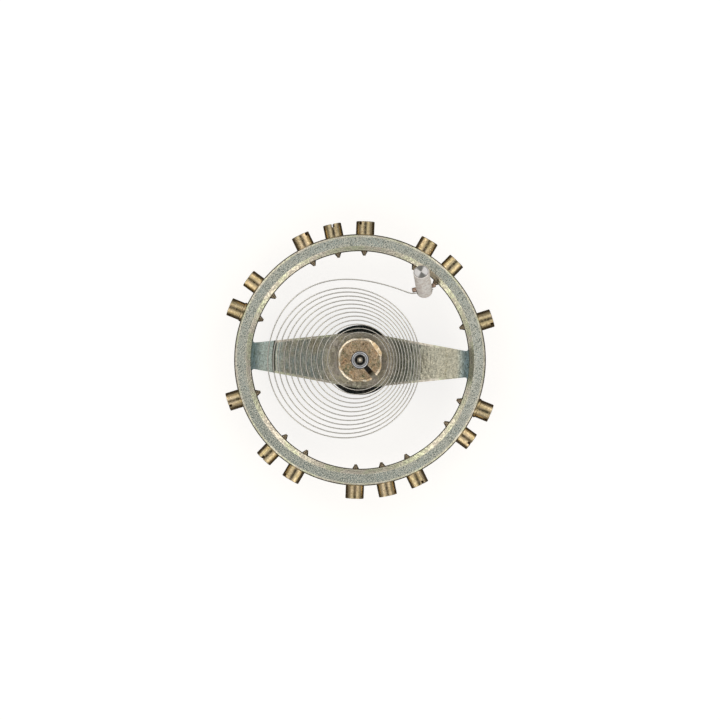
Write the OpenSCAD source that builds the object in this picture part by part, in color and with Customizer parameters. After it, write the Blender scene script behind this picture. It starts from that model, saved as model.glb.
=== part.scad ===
// Screwed balance of a wristwatch with its flat hairspring, collet and stud.
// Millimetres. +Z runs along the staff towards the hairspring side. The origin is on the
// staff's axis, level with the axes of the timing screws. The arm lies along X.

/* [Rim] */
// Outside diameter of the rim
rim_d = 9.0; // [8.7:0.05:9.4]
// Inside diameter of the rim
rim_bore_d = 7.82; // [7.7:0.02:8.0]
// Height of the rim along the staff
rim_h = 0.75; // [0.7:0.01:0.85]
// Width of the bevel along the inner edge of the rim's upper face
rim_bevel_w = 0.17; // [0.1:0.01:0.22]
// Depth of that bevel
rim_bevel_h = 0.11; // [0.05:0.01:0.15]
// Chamfer on the rim's other edges
rim_chamfer = 0.06; // [0.02:0.01:0.09]

/* [Arm] */
// Width of the arm's sides where they would meet at the staff's axis
arm_root_w = 1.99; // [1.8:0.01:2.1]
// Width of the arm at the rim
arm_end_w = 0.92; // [0.7:0.01:1.1]
// Thickness of the arm
arm_t = 0.2; // [0.15:0.01:0.24]
// Height of the arm's upper face above the screws' axes, negative below them
arm_top_z = -0.1; // [-0.14:0.01:-0.06]
// Diameter of the hub in the middle of the arm
hub_d = 2.03; // [1.9:0.01:2.2]
// Radius at which the turned recess in the arm's upper face begins
recess_r = 3.08; // [2.9:0.02:3.3]
// Depth of that recess
recess_depth = 0.05; // [0.02:0.01:0.07]
// Radius of the corner between arm and rim
arm_corner_r = 0.08; // [0.04:0.01:0.12]

/* [Staff] */
// Length of the staff over both pivots
staff_l = 3.2; // [3.16:0.01:3.4]
// Diameter of each pivot
pivot_d = 0.11; // [0.09:0.01:0.12]
// Length of the cylindrical part of each pivot
pivot_l = 0.32; // [0.25:0.01:0.34]
// Height of the conical rise behind each pivot
pivot_cone_h = 0.16; // [0.1:0.01:0.2]
// Diameter of the conical rise where it starts
pivot_cone_d = 0.25; // [0.2:0.01:0.3]
// Diameter of the upper arbor below its pivot
upper_arbor_d = 0.42; // [0.36:0.01:0.46]
// Chamfer at the end of that arbor
upper_arbor_chamfer = 0.04; // [0.01:0.01:0.05]
// Diameter of the collet's seat
collet_seat_d = 0.606; // [0.55:0.002:0.64]
// Height of the stepped end of the collet's seat
seat_step_h = 0.06; // [0.03:0.01:0.1]
// Diameter of the seat that the wheel's hub is riveted on
wheel_seat_d = 0.9; // [0.86:0.01:0.96]
// Diameter of the riveted lip above the hub
rivet_d = 1.04; // [1.0:0.01:1.1]
// Height of the riveted lip
rivet_h = 0.05; // [0.03:0.01:0.06]
// Diameter of the flange under the hub
flange_d = 1.44; // [1.3:0.02:1.6]
// Thickness of the flange
flange_t = 0.12; // [0.08:0.01:0.16]
// Diameter of the seat of the two rollers
roller_seat_d = 0.5; // [0.44:0.01:0.56]

/* [Rollers and impulse jewel] */
// Diameter of the roller table
roller_d = 2.52; // [2.4:0.02:2.6]
// Thickness of the roller table
roller_t = 0.16; // [0.12:0.01:0.2]
// Diameter of the safety roller
safety_d = 1.24; // [1.1:0.02:1.4]
// Thickness of the safety roller
safety_t = 0.15; // [0.1:0.01:0.18]
// Outside diameter of the sleeve that spaces the rollers
sleeve_d = 0.76; // [0.66:0.02:0.9]
// Length of that sleeve
sleeve_l = 0.26; // [0.2:0.01:0.28]
// Radius of the passing hollow cut in the safety roller
hollow_r = 0.2; // [0.16:0.01:0.24]
// Distance of the impulse jewel from the staff's axis
jewel_place_r = 0.9; // [0.84:0.01:1.0]
// Diameter of the impulse jewel
jewel_d = 0.26; // [0.22:0.01:0.3]
// Part of the jewel's diameter that is left behind its flat
jewel_flat = 0.67; // [0.6:0.01:0.8]
// Length of the impulse jewel
jewel_l = 0.4; // [0.36:0.01:0.42]

/* [Collet] */
// Diameter of the collet over its rounded corners
collet_d = 1.62; // [1.56:0.01:1.7]
// Width of the collet across its flats
collet_flat_w = 1.54; // [1.48:0.01:1.56]
// Height of the collet
collet_h = 0.5; // [0.42:0.01:0.54]
// Chamfer around the collet's faces
collet_chamfer = 0.07; // [0.03:0.01:0.1]
// Width of the slot that lets the collet grip the staff
collet_slot_w = 0.18; // [0.12:0.01:0.22]
// Direction of that slot, seen from the hairspring side
collet_slot_dir = -47.7; // [-52:0.1:-42]
// Diameter of the hole that holds the spring's inner end
collet_hole_d = 0.2; // [0.18:0.01:0.24]
// Distance of that hole from the staff's axis
collet_hole_r = 0.58; // [0.54:0.01:0.6]
// Diameter of the pin that wedges the spring in that hole
collet_pin_d = 0.112; // [0.09:0.002:0.114]

/* [Hairspring] */
// Thickness of the strip
strip_t = 0.035; // [0.025:0.001:0.04]
// Height of the strip
strip_h = 0.14; // [0.1:0.01:0.15]
// Height of the middle of the strip above the screws' axes
spring_z = 0.42; // [0.4:0.01:0.45]
// Turns of the coil
spring_turns = 12.05; // [11.05:1:13.05]
// Radius of the coil where it starts
coil_in_r = 0.95; // [0.93:0.01:0.99]
// Radius of the coil where its last turn ends
coil_out_r = 2.75; // [2.7:0.01:2.8]
// Distance by which the last turn's centre lies off the staff's axis
coil_shift_r = 0.55; // [0.5:0.01:0.56]
// Direction of that distance
coil_shift_dir = 189.7; // [186:0.1:193]
// Direction from the centre to the end of the last turn
coil_end_dir = 173.7; // [170:0.1:177]

/* [Stud] */
// Diameter of the stud
stud_d = 0.57; // [0.52:0.01:0.6]
// Length of the stud
stud_l = 1.36; // [1.28:0.01:1.4]
// Distance of the cross hole from the stud's lower end
stud_hole_up = 0.235; // [0.22:0.005:0.26]
// Diameter of the cross hole
stud_hole_d = 0.28; // [0.27:0.01:0.3]
// Distance of the cross hole from the staff's axis
stud_place_r = 3.42; // [3.38:0.01:3.44]
// Direction of the cross hole from the staff's axis
stud_place_dir = 50.36; // [48:0.01:52]
// Lean of the free stud from upright
stud_lean = 31.3; // [28:0.1:34]
// Direction in which the stud's lower end points as it leans
stud_lean_dir = -74.9; // [-78:0.1:-72]
// Diameter of the stud's pin
stud_pin_d = 0.17; // [0.15:0.01:0.18]
// Length of the stud's pin
stud_pin_l = 0.86; // [0.8:0.02:0.92]

/* [Timing screws] */
// Angle between neighbouring places for a screw
screw_pitch_angle = 14; // [13.5:0.1:14.2]
// Angle from the arm to the first place
screw_first_angle = 20; // [19:0.1:21]
// Diameter of a screw's head
screw_head_d = 0.655; // [0.6:0.005:0.7]
// Length of a screw's head
screw_head_l = 0.48; // [0.4:0.01:0.55]
// Diameter of a screw's thread
screw_thread_d = 0.28; // [0.24:0.01:0.3]
// Distance by which a screw's tip shows inside the rim
screw_tip_l = 0.17; // [0.12:0.01:0.19]
// Width of the screwdriver slot
screw_slot_w = 0.09; // [0.07:0.01:0.12]
// Depth of the screwdriver slot
screw_slot_depth = 0.12; // [0.08:0.01:0.16]
// Depth of the flat seat sunk into the rim under each head
spot_depth = 0.015; // [0.013:0.001:0.03]
// Thickness of a timing washer
washer_t = 0.086; // [0.05:0.002:0.1]
// Diameter of a timing washer
washer_d = 0.71; // [0.68:0.01:0.74]

/* [Hidden] */
$fn = 64;

// Clearance between pieces that are pressed or screwed together
fit = 0.002;
// Length by which a cut runs past the faces that it opens
past = 0.1;

// Heights along the staff
wheel_under_z = arm_top_z - arm_t;
flange_under_z = wheel_under_z - flange_t;
roller_under_z = flange_under_z - roller_t;
sleeve_under_z = roller_under_z - sleeve_l;
safety_under_z = sleeve_under_z - safety_t;
collet_under_z = spring_z - collet_h / 2;
collet_over_z = spring_z + collet_h / 2;
shoulder_z = staff_l / 2 - pivot_l - pivot_cone_h;
rivet_over_z = arm_top_z + rivet_h;
seat_over_z = collet_over_z + seat_step_h;
collet_rest_d = (collet_seat_d + wheel_seat_d) / 2;
// Chamfer at the ends of the pivots, and on the edges of the other turned pieces
pivot_chamfer = 0.018;
edge = 0.03;

// Directions of the impulse jewel and of the collet's cross hole
jewel_dir = -90;
collet_hole_dir = 250;
collet_flat_dir = 2.3;

// Places of the screws on each half of the rim, counted in pitches from the first
filled_places = [0, 2, 3, 5, 6, 7, 9, 10];
per_half = len(filled_places);
screw_dirs = [for (half = [0, 1]) for (k = filled_places)
    180 * half + screw_first_angle + screw_pitch_angle * k];
// Screws that carry a washer, counted from one
washered = [per_half, 2 * per_half];
screw_seat_r = rim_d / 2 - spot_depth;
screw_hole_d = screw_thread_d + 2 * fit;
// Clearance round a head or washer in its flat seat
spot_clear = 0.01;
spot_d = max(screw_head_d, washer_d) + 2 * spot_clear;
// Flat on the tip of a screw, and the angle from one screw's slot to the next one's
screw_tip_flat_d = 0.07;
slot_roll_angle = 37;

function polar(r, a) = [r * cos(a), r * sin(a)];
function bezier(a, b, c, d, t) =
    pow(1 - t, 3) * a + 3 * t * pow(1 - t, 2) * b + 3 * t * t * (1 - t) * c + pow(t, 3) * d;
// Points on a curve between two ends, which it leaves and meets along the given arms
function curve(a, arm_a, arm_b, b, steps, first = 0) =
    [for (i = [first:steps]) bezier(a, a + arm_a, b - arm_b, b, i / steps)];
function unit(v) = v / norm(v);
function left_of(v) = [-v.y, v.x];

// The strip and its pin share each cross hole: the strip lies off the hole's middle by this
// much on the side away from the pin, and the pin lies midway between the strip and the wall
strip_off_collet_hole = 0.04;
strip_off_stud_hole = 0.09;
function pin_off(hole_d, strip_off) = (hole_d / 2 - strip_off + strip_t / 2) / 2;
collet_pin_r = collet_hole_r - pin_off(collet_hole_d, strip_off_collet_hole);
// Thin end of a pin as a share of its thick end
pin_taper = 0.86;

// The flat coil: its radius grows and its centre drifts evenly from turn to turn, clockwise
steps_per_turn = 36;
turn_bit = 0.01;
function coil_point(turn) = let (u = turn / spring_turns)
    polar(coil_in_r + (coil_out_r - coil_in_r) * u, coil_end_dir + 360 * (spring_turns - turn))
    + polar(coil_shift_r * u, coil_shift_dir);

// Inner end: straight in the collet's hole, then one bend out to the coil
inner_join = 0.2;
inner_steps = 8;
strip_in_hole_r = collet_hole_r + strip_off_collet_hole;
hole_exit_l = sqrt(pow(collet_d / 2, 2) - pow(strip_in_hole_r, 2)) + edge;
collet_along = polar(1, collet_hole_dir - 90);
collet_end = polar(strip_in_hole_r, collet_hole_dir);
collet_exit = collet_end + hole_exit_l * collet_along;
join_tangent = unit(coil_point(inner_join + turn_bit) - coil_point(inner_join));
inner_reach = 0.3;

// Outer end: one long curve off the coil, an elbow, then straight through the stud's hole
stud_down = polar(1, stud_lean_dir);
stud_along = polar(1, stud_lean_dir + 90);
stud_hole = polar(stud_place_r, stud_place_dir);
strip_in_stud = stud_hole + strip_off_stud_hole * stud_down;
stud_entry = strip_in_stud - (stud_d / 2 + edge) * stud_along;
stud_exit = strip_in_stud + (stud_d / 2 + edge) * stud_along;
elbow_l = 0.34;
elbow_rise = 19.5;
elbow_start = stud_entry + polar(elbow_l, stud_lean_dir - 90 - elbow_rise);
elbow_dir = -18.6;
elbow_reach = 0.13;
elbow_steps = 5;
coil_end_tangent = unit(coil_point(spring_turns) - coil_point(spring_turns - turn_bit));
curve_reach_in = 1.22;
curve_reach_out = 4.0;
curve_steps = 16;

strip_line = concat(
    [collet_end],
    curve(collet_exit, inner_reach * collet_along, inner_reach * join_tangent,
          coil_point(inner_join), inner_steps),
    [for (t = [inner_join + 1 / steps_per_turn:1 / steps_per_turn:spring_turns - 0.5 / steps_per_turn])
        coil_point(t)],
    curve(coil_point(spring_turns), curve_reach_in * coil_end_tangent,
          curve_reach_out * polar(1, elbow_dir), elbow_start, curve_steps),
    curve(elbow_start, elbow_reach * polar(1, elbow_dir), elbow_reach * stud_along,
          stud_entry, elbow_steps, 1),
    [stud_exit]);
strip_n = len(strip_line);
function strip_heading(i) = unit(strip_line[min(i + 1, strip_n - 1)] - strip_line[max(i - 1, 0)]);
function strip_side(i, side) = strip_line[i] + side * strip_t / 2 * left_of(strip_heading(i));

// Least gap of the strip to its own next turn, measured between the points of its middle line
strip_gap = min([for (i = [0:strip_n - 2 - steps_per_turn / 2])
                 min([for (j = [i + steps_per_turn / 2:min(i + 3 * steps_per_turn / 2, strip_n - 1)])
                      norm(strip_line[i] - strip_line[j])])]) - strip_t;
echo(least_gap_between_turns_mm = strip_gap);

module balance_wheel() {
    color([0.62, 0.63, 0.57])
    difference() {
        union() {
            rotate_extrude() rim_section();
            arm();
        }
        translate([0, 0, wheel_under_z - past])
            cylinder(d = wheel_seat_d + 2 * fit, h = arm_t + 2 * past);
        for (a = screw_dirs) screw_way(a);
    }
}

module rim_section() {
    in_r = rim_bore_d / 2;
    out_r = rim_d / 2;
    top = rim_h / 2;
    polygon([[in_r, -top + rim_chamfer], [in_r + rim_chamfer, -top],
             [out_r - rim_chamfer, -top], [out_r, -top + rim_chamfer],
             [out_r, top - rim_chamfer], [out_r - rim_chamfer, top],
             [in_r + rim_bevel_w, top], [in_r, top - rim_bevel_h]]);
}

// Half the arm's width at a distance from the axis, on its straight taper
arm_slope = (arm_root_w - arm_end_w) / rim_bore_d;
function arm_side(x) = arm_root_w / 2 - arm_slope * x;

// The arm is a tapered bar on both sides of a round hub, with its ends inside the rim
module arm() {
    end_r = (rim_bore_d + rim_d) / 4;
    difference() {
        translate([0, 0, wheel_under_z]) linear_extrude(arm_t) {
            circle(d = hub_d);
            polygon([[0, arm_side(0)], [end_r, arm_side(end_r)], [end_r, -arm_side(end_r)],
                     [0, -arm_side(0)], [-end_r, -arm_side(end_r)], [-end_r, arm_side(end_r)]]);
            for (x = [0, 1], y = [0, 1]) mirror([x, 0]) mirror([0, y]) arm_corner(end_r);
        }
        translate([0, 0, arm_top_z - recess_depth]) difference() {
            cylinder(r = rim_bore_d / 2, h = recess_depth + past);
            translate([0, 0, -past]) cylinder(r = recess_r, h = recess_depth + 3 * past);
        }
    }
}

// Rounded inside corner that touches the arm's side and the rim's bore
module arm_corner(end_r) {
    steep = sqrt(1 + arm_slope * arm_slope);
    bore_r = rim_bore_d / 2;
    lift = arm_root_w / 2 + arm_corner_r * steep;
    reach = bore_r - arm_corner_r;
    x = (lift * arm_slope + sqrt(pow(reach * steep, 2) - lift * lift)) / (steep * steep);
    middle = [x, lift - arm_slope * x];
    on_arm = middle - arm_corner_r / steep * [arm_slope, 1];
    difference() {
        polygon([on_arm, middle * bore_r / reach, middle * end_r / reach, [end_r, arm_side(end_r)]]);
        translate(middle) circle(r = arm_corner_r);
    }
}

// Tapped hole and flat seat of one screw
module screw_way(a) {
    rotate([0, 0, a]) rotate([0, 90, 0]) {
        translate([0, 0, rim_bore_d / 2 - past])
            cylinder(d = screw_hole_d, h = (rim_d - rim_bore_d) / 2 + 2 * past);
        translate([0, 0, screw_seat_r]) cylinder(d = spot_d, h = spot_depth + past);
    }
}

module balance_staff() {
    end = staff_l / 2;
    color([0.72, 0.73, 0.75])
    rotate_extrude() polygon([
        [0, -end], [pivot_d / 2 - pivot_chamfer, -end], [pivot_d / 2, -end + pivot_chamfer],
        [pivot_d / 2, -end + pivot_l], [pivot_cone_d / 2, -shoulder_z],
        [roller_seat_d / 2 - edge, -shoulder_z], [roller_seat_d / 2, -shoulder_z + edge],
        [roller_seat_d / 2, flange_under_z], [flange_d / 2, flange_under_z],
        [flange_d / 2, wheel_under_z], [wheel_seat_d / 2, wheel_under_z],
        [wheel_seat_d / 2, arm_top_z], [rivet_d / 2, arm_top_z],
        [rivet_d / 2 - rivet_h / 2, rivet_over_z], [collet_rest_d / 2, rivet_over_z],
        [collet_rest_d / 2, collet_under_z], [collet_seat_d / 2, collet_under_z],
        [collet_seat_d / 2, seat_over_z - edge], [collet_seat_d / 2 - edge, seat_over_z],
        [collet_seat_d / 2 - 2 * edge, seat_over_z], [collet_seat_d / 2 - 2 * edge, seat_over_z + edge],
        [upper_arbor_d / 2, seat_over_z + edge], [upper_arbor_d / 2, shoulder_z - upper_arbor_chamfer],
        [upper_arbor_d / 2 - upper_arbor_chamfer, shoulder_z], [pivot_cone_d / 2, shoulder_z],
        [pivot_d / 2, end - pivot_l], [pivot_d / 2, end - pivot_chamfer],
        [pivot_d / 2 - pivot_chamfer, end], [0, end]]);
}

module roller_table() {
    color([0.16, 0.17, 0.18])
    difference() {
        translate([0, 0, roller_under_z]) rotate_extrude() polygon([
            [roller_seat_d / 2 + fit, 0], [roller_d / 2 - edge, 0], [roller_d / 2, edge],
            [roller_d / 2, roller_t - edge], [roller_d / 2 - edge, roller_t],
            [roller_seat_d / 2 + fit, roller_t]]);
        translate([0, 0, roller_under_z - past]) linear_extrude(roller_t + 2 * past) jewel_outline(fit);
    }
}

module safety_roller() {
    color([0.55, 0.56, 0.58])
    difference() {
        union() {
            translate([0, 0, safety_under_z]) cylinder(d = safety_d, h = safety_t);
            translate([0, 0, safety_under_z]) cylinder(d = sleeve_d, h = safety_t + sleeve_l);
        }
        translate([0, 0, safety_under_z - past])
            cylinder(d = roller_seat_d + 2 * fit, h = safety_t + sleeve_l + 2 * past);
        rotate([0, 0, jewel_dir]) translate([safety_d / 2, 0, safety_under_z - past])
            cylinder(r = hollow_r, h = safety_t + past);
    }
}

// Round pin with a flat towards the rim, larger all round by the given clearance
module jewel_outline(clear) {
    rotate(jewel_dir) translate([jewel_place_r, 0]) intersection() {
        circle(d = jewel_d + 2 * clear);
        translate([-jewel_d / 2 - clear, -jewel_d])
            square([jewel_d * jewel_flat + 2 * clear, 2 * jewel_d]);
    }
}

module impulse_jewel() {
    color([0.75, 0.1, 0.2])
    translate([0, 0, flange_under_z - jewel_l]) linear_extrude(jewel_l) jewel_outline(0);
}

module collet() {
    r = collet_d / 2;
    color([0.66, 0.55, 0.38])
    difference() {
        intersection() {
            translate([0, 0, collet_under_z]) rotate_extrude() polygon([
                [collet_seat_d / 2 + fit, 0], [r - collet_chamfer, 0], [r, collet_chamfer],
                [r, collet_h - collet_chamfer], [r - collet_chamfer, collet_h],
                [collet_seat_d / 2 + fit, collet_h]]);
            rotate([0, 0, collet_flat_dir]) translate([-collet_flat_w / 2, -collet_flat_w / 2, 0])
                cube([collet_flat_w, collet_flat_w, collet_over_z + past]);
        }
        rotate([0, 0, collet_slot_dir]) translate([0, -collet_slot_w / 2, 0])
            cube([r + past, collet_slot_w, collet_over_z + past]);
        translate([0, 0, spring_z]) rotate([0, 0, collet_hole_dir]) translate([collet_hole_r, 0, 0])
            rotate([90, 0, 0]) cylinder(d = collet_hole_d, h = collet_d + past, center = true);
    }
}

// Pins are tapered a little, as they are filed
module pin(d, l) {
    cylinder(d1 = d, d2 = pin_taper * d, h = l, center = true);
}

module collet_pin() {
    pin_l = 2 * sqrt(pow(collet_d / 2, 2) - pow(collet_hole_r, 2)) - 2 * edge;
    color([0.75, 0.62, 0.36])
    translate([0, 0, spring_z]) rotate([0, 0, collet_hole_dir])
        translate([collet_pin_r, 0, 0]) rotate([90, 0, 0]) pin(collet_pin_d, pin_l);
}

module hairspring() {
    color([0.35, 0.37, 0.4])
    translate([0, 0, spring_z - strip_h / 2]) linear_extrude(strip_h)
        polygon(concat([for (i = [0:strip_n - 1]) strip_side(i, 1)],
                       [for (i = [strip_n - 1:-1:0]) strip_side(i, -1)]));
}

// Puts its children on the leaning stud: their origin is the cross hole, +Z runs up the stud
// and +X points outwards over the rim
module on_stud() {
    translate([stud_hole.x, stud_hole.y, spring_z]) rotate([0, 0, stud_lean_dir + 180])
        rotate([0, stud_lean, 0]) children();
}

module hairspring_stud() {
    color([0.85, 0.83, 0.8])
    on_stud() difference() {
        translate([0, 0, -stud_hole_up]) rotate_extrude() polygon([
            [0, 0], [stud_d / 2 - 2 * edge, 0], [stud_d / 2, 2 * edge],
            [stud_d / 2, stud_l - edge], [stud_d / 2 - edge, stud_l], [0, stud_l]]);
        rotate([90, 0, 0]) cylinder(d = stud_hole_d, h = stud_d + past, center = true);
    }
}

module stud_pin() {
    color([0.55, 0.42, 0.3])
    translate([stud_hole.x, stud_hole.y, spring_z]) rotate([0, 0, stud_lean_dir + 180])
        translate([pin_off(stud_hole_d, strip_off_stud_hole), 0, 0])
        rotate([90, 0, 0]) pin(stud_pin_d, stud_pin_l);
}

// One screw, its head resting on the rim's seat or on a washer
module timing_screw(i) {
    lift = i == washered[0] || i == washered[1] ? washer_t : 0;
    thread_r = screw_thread_d / 2;
    head_r = screw_head_d / 2;
    tip_r = rim_bore_d / 2 - screw_tip_l;
    seat_r = screw_seat_r + lift;
    end_r = seat_r + screw_head_l;
    color([0.71, 0.58, 0.34])
    rotate([0, 0, screw_dirs[i - 1]]) rotate([0, 90, 0]) difference() {
        rotate_extrude() polygon([
            [0, tip_r], [screw_tip_flat_d / 2, tip_r], [thread_r, rim_bore_d / 2], [thread_r, seat_r],
            [head_r - edge, seat_r], [head_r, seat_r + edge],
            [head_r, end_r - edge], [head_r - edge, end_r], [0, end_r]]);
        rotate([0, 0, slot_roll_angle * i])
            translate([-screw_head_d, -screw_slot_w / 2, end_r - screw_slot_depth])
            cube([2 * screw_head_d, screw_slot_w, screw_slot_depth + past]);
    }
}

module timing_washer(w) {
    color([0.76, 0.65, 0.42])
    rotate([0, 0, screw_dirs[washered[w - 1] - 1]]) rotate([0, 90, 0]) translate([0, 0, screw_seat_r])
        difference() {
            cylinder(d = washer_d, h = washer_t);
            translate([0, 0, -past]) cylinder(d = screw_hole_d, h = washer_t + 2 * past);
        }
}

balance_wheel();
balance_staff();
roller_table();
safety_roller();
impulse_jewel();
collet();
collet_pin();
hairspring();
hairspring_stud();
stud_pin();
timing_screw(1);  // timing_screw_01
timing_screw(2);  // timing_screw_02
timing_screw(3);  // timing_screw_03
timing_screw(4);  // timing_screw_04
timing_screw(5);  // timing_screw_05
timing_screw(6);  // timing_screw_06
timing_screw(7);  // timing_screw_07
timing_screw(8);  // timing_screw_08
timing_screw(9);  // timing_screw_09
timing_screw(10);  // timing_screw_10
timing_screw(11);  // timing_screw_11
timing_screw(12);  // timing_screw_12
timing_screw(13);  // timing_screw_13
timing_screw(14);  // timing_screw_14
timing_screw(15);  // timing_screw_15
timing_screw(16);  // timing_screw_16
timing_washer(1);  // timing_washer_01
timing_washer(2);  // timing_washer_02
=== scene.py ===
import math

import bmesh
import bpy
from mathutils import Matrix, Vector


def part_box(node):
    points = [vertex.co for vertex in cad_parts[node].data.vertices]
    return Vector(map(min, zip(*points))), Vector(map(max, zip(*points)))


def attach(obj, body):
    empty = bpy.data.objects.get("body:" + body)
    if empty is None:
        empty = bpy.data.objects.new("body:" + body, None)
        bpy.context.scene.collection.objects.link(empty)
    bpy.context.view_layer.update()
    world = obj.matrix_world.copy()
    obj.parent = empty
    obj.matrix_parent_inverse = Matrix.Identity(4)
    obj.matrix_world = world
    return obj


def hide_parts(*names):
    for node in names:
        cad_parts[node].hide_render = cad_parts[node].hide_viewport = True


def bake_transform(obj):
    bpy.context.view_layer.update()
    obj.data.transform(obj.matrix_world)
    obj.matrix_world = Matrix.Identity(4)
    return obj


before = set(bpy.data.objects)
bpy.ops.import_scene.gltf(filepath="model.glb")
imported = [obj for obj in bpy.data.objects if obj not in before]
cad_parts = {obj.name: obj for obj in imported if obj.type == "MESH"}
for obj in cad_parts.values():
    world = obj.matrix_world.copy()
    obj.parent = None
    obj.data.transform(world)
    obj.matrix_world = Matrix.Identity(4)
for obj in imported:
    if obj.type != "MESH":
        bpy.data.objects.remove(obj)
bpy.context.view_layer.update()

MM = 0.001  # a millimetre in the frame's metres; shapes are drawn in millimetres and scaled by it


# Balance wheel. Rim and arm are one piece of nickel silver: the rim turned, the sectors milled
# out beside the arm, the faces stoned matt and the inner edge cut to a bright bevel. Its holes
# are drilled through the rim's wall, each with a flat seat sunk for a screw's head.

wheel_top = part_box("balance_wheel")[1] / MM
rim_r, rim_half_h = wheel_top.y, wheel_top.z
bore_r = 3.91
bevel_w, bevel_h = 0.17, 0.11
under_chamfer = 0.06
lip_w, lip_h = 0.06, 0.02
outer_edge_w, outer_edge_h = 0.04, 0.08
edge_round, rim_steps = 0.012, 384
arm_top, arm_under = -0.1, -0.3
arm_root_w, arm_end_w = 1.99, 0.92
hub_r, corner_r = 1.015, 0.08
arm_chamfer_w, arm_chamfer_h = 0.085, 0.03
arm_chamfer_to = bore_r - corner_r - 0.06
recess_r, recess_depth, recess_round = 3.08, 0.05, 0.01
staff_hole_r = 0.452
first_screw_dir, screw_pitch = 20, 14
screw_dirs = [first_screw_dir + 180 * half + screw_pitch * k
              for half in (0, 1) for k in (0, 2, 3, 5, 6, 7, 9, 10)]
thread_hole_r, seat_sink_r = 0.142, 0.365
seat_at = rim_r - 0.015
past = 0.2  # how far a tool runs past the face that it cuts
play = 0.002  # clearance between pieces that fit closely


def turn(degrees, axis):
    return Matrix.Rotation(math.radians(degrees), 4, axis)


def move(x, y, z):
    return Matrix.Translation((x, y, z))


def polar(radius, degrees):
    angle = math.radians(degrees)
    return Vector((radius * math.cos(angle), radius * math.sin(angle)))


def arc(middle, radius, start, end, steps):
    """Points of an arc from one angle to another, in radians."""
    angles = [start + (end - start) * k / steps for k in range(steps + 1)]
    return [Vector((middle[0] + radius * math.cos(a), middle[1] + radius * math.sin(a)))
            for a in angles]


def softened(outline, radius, ring=True, steps=3):
    """The outline with each corner eased to a small round, and a point beside each round."""
    most, beside = 0.3, 1.6  # a round's greatest share of a side; where its outer points lie
    eased = []
    for i, corner in enumerate(outline):
        corner = Vector(corner)
        if not ring and i in (0, len(outline) - 1):
            eased.append(corner)
            continue
        before = Vector(outline[i - 1]) - corner
        after = Vector(outline[(i + 1) % len(outline)]) - corner
        take = min(radius, most * before.length, most * after.length)
        before, after = before.normalized() * take, after.normalized() * take
        eased.append(corner + before * beside)
        for k in range(steps + 1):
            t = k / steps
            eased.append((corner + before) * (1 - t) ** 2 + corner * 2 * t * (1 - t)
                         + (corner + after) * t * t)
        eased.append(corner + after * beside)
    return eased


def skin(rows, ring=False, finish_of=None):
    """A closed surface through rows of points, each row a loop or one point on the axis."""
    shape = bmesh.new()
    made = [[shape.verts.new(p) for p in row] for row in rows]
    for low, high in zip(made, made[1:] + made[:1] if ring else made[1:]):
        count = max(len(low), len(high))
        for i in range(count):
            j = (i + 1) % count
            corners = [low[i % len(low)], low[j % len(low)],
                       high[j % len(high)], high[i % len(high)]]
            shape.faces.new(list(dict.fromkeys(corners)))
    for end in (made[0], made[-1]):
        if len(end) > 2 and not ring:
            shape.faces.new(end)
    if finish_of:
        for face in shape.faces:
            face.material_index = finish_of(face.calc_center_median())
    bmesh.ops.recalc_face_normals(shape, faces=shape.faces)
    return shape


def turned(outline, steps, ease=0.0, finish_of=None):
    """Turns an outline of (radius, height) points about Z, to a ring if it starts off the axis."""
    ring = outline[0][0] > 0
    if ease:
        outline = softened(outline, ease, ring)
    angles = [2 * math.pi * k / steps for k in range(steps)]
    rows = [[(radius * math.cos(a), radius * math.sin(a), height) for a in angles]
            if radius > 1e-6 else [(0, 0, height)] for radius, height in outline]
    return skin(rows, ring, finish_of)


def rod(radius, low, high, steps, finish=0):
    """A plain drill or reamer about Z, which gives the wall it cuts that finish."""
    return turned([(0, low), (radius, low), (radius, high), (0, high)], steps,
                  finish_of=lambda point: finish)


def plate(outline, low, high, ease, drop, finish_of=None, inside=math.inf):
    """A flat plate of that outline, anticlockwise, chamfered by ease and drop where inside."""

    def inset(by):
        rows = []
        for i, p in enumerate(outline):
            way = outline[(i + 1) % len(outline)] - outline[i - 1]
            here = by if p.length < inside else by * edge_round / ease
            rows.append(p + Vector((-way.y, way.x)).normalized() * here)
        return rows

    flat_from = 1.2 * ease
    levels = [(flat_from, low), (ease, low), (0, low + drop),
              (0, high - drop), (ease, high), (flat_from, high)]
    return skin([[(p.x, p.y, z) for p in inset(by)] for by, z in levels], finish_of=finish_of)


def shown(name, data):
    """An object in the scene."""
    made = bpy.data.objects.new(name, data)
    bpy.context.scene.collection.objects.link(made)
    return made


def blank(name, shape, finishes):
    """An object, still in millimetres, from a finished shape."""
    mesh = bpy.data.meshes.new(name)
    shape.to_mesh(mesh)
    shape.free()
    for finish in finishes:
        mesh.materials.append(finish)
    return shown(name, mesh)


def worked(piece, tool, how="DIFFERENCE"):
    """The piece with a tool's shape cut out of it, or with another object joined to it."""
    if isinstance(tool, bmesh.types.BMesh):
        tool = blank("tool", tool, piece.data.materials)
    cut = piece.modifiers.new("work", "BOOLEAN")
    cut.operation, cut.object, cut.solver, cut.material_mode = how, tool, "EXACT", "INDEX"
    bpy.context.view_layer.update()
    worked_mesh = bpy.data.meshes.new_from_object(
        piece.evaluated_get(bpy.context.evaluated_depsgraph_get()))
    piece.modifiers.clear()
    piece.data = worked_mesh
    bpy.data.objects.remove(tool)
    return piece


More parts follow.
